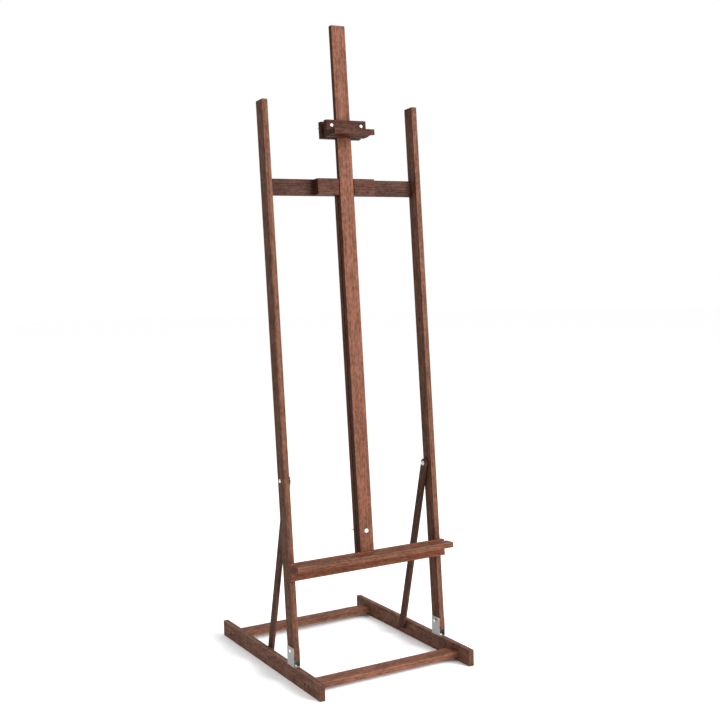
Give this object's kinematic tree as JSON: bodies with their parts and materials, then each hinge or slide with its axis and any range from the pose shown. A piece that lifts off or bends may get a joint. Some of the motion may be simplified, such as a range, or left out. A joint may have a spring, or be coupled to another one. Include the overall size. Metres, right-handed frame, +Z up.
{
  "type": "artist easel",
  "caption": "Wooden H-frame studio easel on a flat floor base, with a sliding centre mast that carries a canvas tray and a sliding top clamp; the frame folds back.",
  "frame": {"origin": "floor level, at the middle of the base", "axes": "+X to the right as seen from the front, +Y to the back, +Z up; the canvas faces -Y"},
  "size_m": [0.6124, 0.79, 2.2053],
  "materials": {
    "runner_wood": "satin dark stained open-grain hardwood",
    "cross_bar_wood": "satin dark stained open-grain hardwood",
    "upright_wood": "satin dark stained open-grain hardwood",
    "crossbar_wood": "satin dark stained open-grain hardwood",
    "guide_wood": "satin dark stained open-grain hardwood",
    "mast_wood": "satin dark stained open-grain hardwood",
    "tray_wood": "satin dark stained open-grain hardwood",
    "clamp_wood": "satin dark stained open-grain hardwood",
    "dowel_wood": "plain beech",
    "zinc_plate": "zinc plated",
    "bright_steel": "bright zinc plated",
    "wing_nut_steel": "bright zinc plated",
    "dark_steel": "blackened",
    "screw_steel": "plain zinc plated"
  },
  "bodies": {
    "base": {"left_runner": "runner_wood", "right_runner": "runner_wood", "front_cross_bar": "cross_bar_wood", "rear_cross_bar": "cross_bar_wood", "cross_bar_screws": "dark_steel", "left_bracket": "zinc_plate", "right_bracket": "zinc_plate", "bracket_screws": "bright_steel", "left_pivot_bolt": "bright_steel", "right_pivot_bolt": "bright_steel", "pivot_nuts": "bright_steel"},
    "standing_frame": {"left_upright": "upright_wood", "right_upright": "upright_wood", "upper_crossbar": "crossbar_wood", "lower_crossbar": "crossbar_wood", "rear_rail": "crossbar_wood", "frame_dowels": "dowel_wood", "guide_block": "guide_wood", "guide_block_screws": "screw_steel", "left_strut_bolt": "bright_steel", "right_strut_bolt": "bright_steel", "strut_bolt_washers": "bright_steel", "strut_bolt_nuts": "bright_steel"},
    "left_strut": {"left_strut": "upright_wood", "left_strut_foot_bolt": "dark_steel", "left_strut_foot_washer": "dark_steel"},
    "right_strut": {"right_strut": "upright_wood", "right_strut_foot_bolt": "dark_steel", "right_strut_foot_washer": "dark_steel"},
    "mast": {"mast": "mast_wood", "mast_fixing_screws": "screw_steel", "mast_spacer": "crossbar_wood", "mast_bolt": "bright_steel", "mast_washer": "bright_steel", "tray_apron": "tray_wood", "tray_shelf": "tray_wood", "tray_screws": "screw_steel"},
    "mast_wing_nut": {"mast_wing_nut": "wing_nut_steel"},
    "clamp": {"clamp_front_plate": "clamp_wood", "clamp_rear_plate": "clamp_wood", "clamp_lip": "clamp_wood", "clamp_lip_screws": "screw_steel", "clamp_bolts": "bright_steel", "clamp_washers": "bright_steel"},
    "left_clamp_wing_nut": {"left_clamp_wing_nut": "wing_nut_steel"},
    "right_clamp_wing_nut": {"right_clamp_wing_nut": "wing_nut_steel"}
  },
  "joints": [
    {"name": "frame_fold", "type": "hinge", "parent": "base", "child": "standing_frame", "pos_m": [0, -0.1895, 0.109], "axis": [-1, 0, 0], "range_deg": [0, 86]},
    {"name": "left_strut_swing", "type": "hinge", "parent": "standing_frame", "child": "left_strut", "pos_m": [-0.2734, -0.14379, 0.67644], "axis": [1, 0, 0], "range_deg": [0, 161]},
    {"name": "right_strut_swing", "type": "hinge", "parent": "standing_frame", "child": "right_strut", "pos_m": [0.2734, -0.14379, 0.67644], "axis": [1, 0, 0], "range_deg": [0, 161]},
    {"name": "mast_slide", "type": "slide", "parent": "standing_frame", "child": "mast", "axis": [0, 0.0663, 0.9978], "range_m": [0, 0.65]},
    {"name": "mast_wing_nut_turn", "type": "hinge", "parent": "mast", "child": "mast_wing_nut", "pos_m": [0, -0.13337, 0.4713], "axis": [0, 0.9978, -0.0663], "continuous": true},
    {"name": "clamp_slide", "type": "slide", "parent": "mast", "child": "clamp", "axis": [0, 0.0663, 0.9978], "range_m": [-0.13, 0.32]},
    {"name": "left_clamp_wing_nut_turn", "type": "hinge", "parent": "clamp", "child": "left_clamp_wing_nut", "pos_m": [-0.057, -0.05528, 1.85817], "axis": [0, 0.9978, -0.0663], "continuous": true},
    {"name": "right_clamp_wing_nut_turn", "type": "hinge", "parent": "clamp", "child": "right_clamp_wing_nut", "pos_m": [0.057, -0.05528, 1.85817], "axis": [0, 0.9978, -0.0663], "continuous": true}
  ],
  "couplings": [
    {"joint": "left_strut_swing", "follows": "frame_fold", "ratio": 1.87},
    {"joint": "right_strut_swing", "follows": "frame_fold", "ratio": 1.87}
  ]
}
